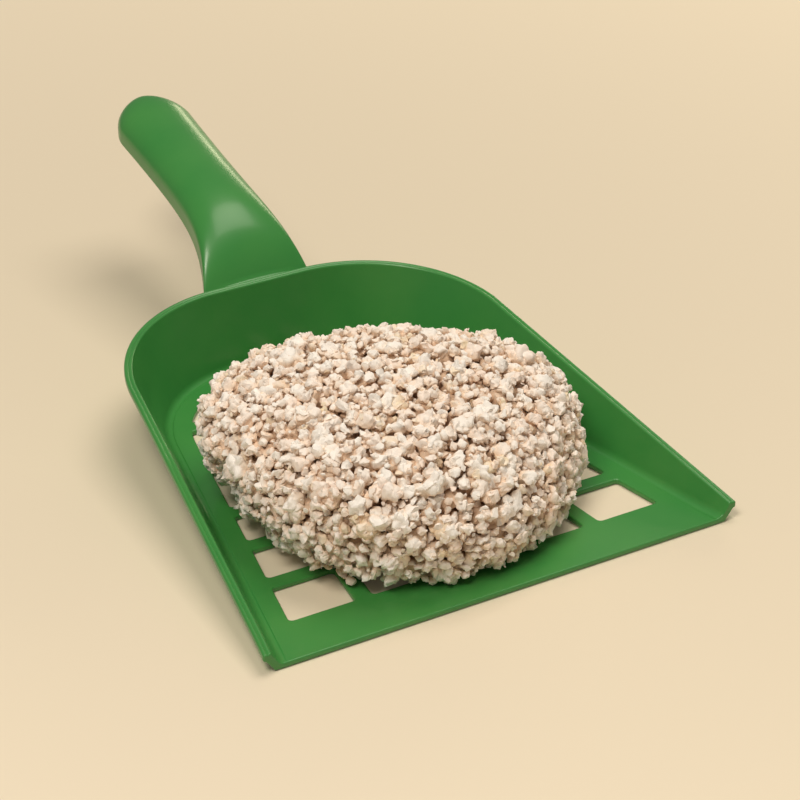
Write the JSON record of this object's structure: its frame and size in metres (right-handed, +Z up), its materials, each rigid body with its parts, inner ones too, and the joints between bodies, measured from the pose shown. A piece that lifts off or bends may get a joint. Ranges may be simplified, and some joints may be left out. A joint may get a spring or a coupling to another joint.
{
  "type": "cat litter scoop with clump",
  "caption": "Moulded plastic litter scoop with a slotted pan, leaning walls and a curved channel handle, holding a rounded clump of granulated litter.",
  "frame": {"origin": "under the middle of the scoop's whole length and width, on the plane that its floor rests on", "axes": "+X across the scoop, +Y from the front lip towards the handle, +Z up"},
  "size_m": [0.1602, 0.25, 0.0639],
  "materials": {
    "green_plastic": "satin gloss moulded green plastic",
    "litter": "chalky cream granules stuck together"
  },
  "bodies": {
    "root": {"scoop": "green_plastic", "litter_clump": "litter"}
  },
  "joints": []
}
